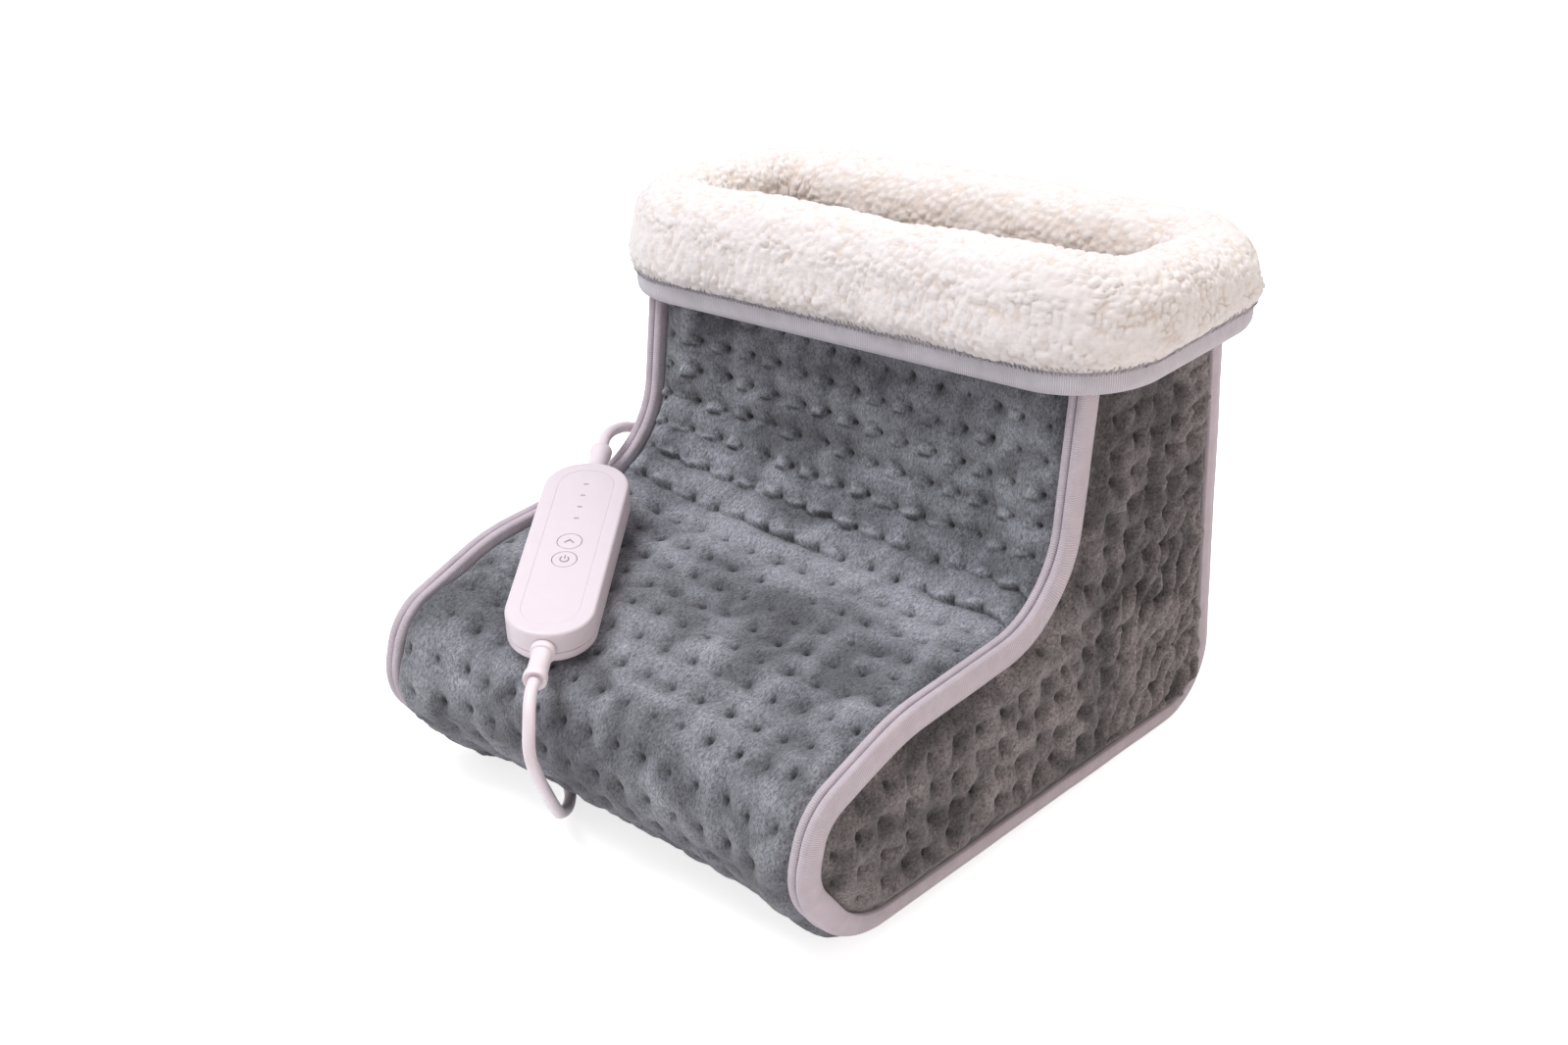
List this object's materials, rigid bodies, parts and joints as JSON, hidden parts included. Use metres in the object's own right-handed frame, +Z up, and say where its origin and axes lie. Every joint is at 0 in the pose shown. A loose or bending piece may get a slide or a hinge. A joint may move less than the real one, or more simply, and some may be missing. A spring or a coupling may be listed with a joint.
{
  "type": "electric foot warmer",
  "caption": "Quilted heated boot for both feet with a folded fleece cuff and liner, a heating pad over the sole, and a push-button hand control on its mains lead.",
  "frame": {"origin": "on the floor under the middle of the boot's box, cords left out", "axes": "+X to the right across the boot, toe towards -Y, heel towards +Y, +Z up"},
  "size_m": [0.3321, 0.4826, 0.2837],
  "materials": {
    "grey_plush": "short plush nap",
    "lilac_grey_tape": "fine ribbed tape",
    "cream_fleece": "curly fleece",
    "sole_cloth": "plain weave",
    "pad_felt": "needle felt",
    "heater_wire_silicone": "matte",
    "pinkish_white_abs": "satin",
    "pinkish_white_pvc": "satin",
    "smoked_window": "gloss",
    "board_laminate": "solder mask",
    "black_epoxy": "matte",
    "led_resin": "gloss",
    "fuse_body": "gloss",
    "zinc_plated_steel": "zinc plated",
    "nickel_plated_brass": "nickel plated",
    "tie_strap": "matte"
  },
  "bodies": {
    "boot": {"front_panel": "grey_plush", "back_panel": "grey_plush", "side_panel_left": "grey_plush", "side_panel_right": "grey_plush", "side_binding_left": "lilac_grey_tape", "side_binding_right": "lilac_grey_tape", "strip_binding_left": "lilac_grey_tape", "strip_binding_right": "lilac_grey_tape", "cuff_hem_binding": "lilac_grey_tape", "fleece_cuff": "cream_fleece", "fleece_liner": "cream_fleece", "sole_panel": "sole_cloth", "heating_pad": "pad_felt", "heating_wire": "heater_wire_silicone", "control_top_shell": "pinkish_white_abs", "control_bottom_shell": "pinkish_white_abs", "face_inlay": "pinkish_white_abs", "lead_entry": "pinkish_white_abs", "strain_relief_lower": "pinkish_white_pvc", "strain_relief_upper": "pinkish_white_pvc", "lead_entry_relief": "pinkish_white_pvc", "boot_lead": "pinkish_white_pvc", "mains_cord": "pinkish_white_pvc", "cord_coil": "pinkish_white_pvc", "plug_lead": "pinkish_white_pvc", "plug_relief": "pinkish_white_pvc", "plug_body": "pinkish_white_pvc", "indicator_window_1": "smoked_window", "indicator_window_2": "smoked_window", "indicator_window_3": "smoked_window", "indicator_window_4": "smoked_window", "circuit_board": "board_laminate", "tact_switch_1": "black_epoxy", "tact_switch_2": "black_epoxy", "triac": "black_epoxy", "thermal_cutout": "black_epoxy", "indicator_led_1": "led_resin", "indicator_led_2": "led_resin", "indicator_led_3": "led_resin", "indicator_led_4": "led_resin", "filter_capacitor": "led_resin", "fuse": "fuse_body", "case_screw_1": "zinc_plated_steel", "case_screw_2": "zinc_plated_steel", "case_screw_3": "zinc_plated_steel", "case_screw_4": "zinc_plated_steel", "plug_pin_1": "nickel_plated_brass", "plug_pin_2": "nickel_plated_brass", "coil_tie": "tie_strap"},
    "power_button": {"power_button": "pinkish_white_abs"},
    "level_button": {"level_button": "pinkish_white_abs"}
  },
  "joints": [
    {"name": "power_button_press", "type": "slide", "parent": "boot", "child": "power_button", "axis": [-0.0877, 0.1253, -0.9882], "range_m": [0, 0.0004], "stiffness_N_per_m": 200},
    {"name": "level_button_press", "type": "slide", "parent": "boot", "child": "level_button", "axis": [-0.0877, 0.1253, -0.9882], "range_m": [0, 0.0004], "stiffness_N_per_m": 200}
  ]
}
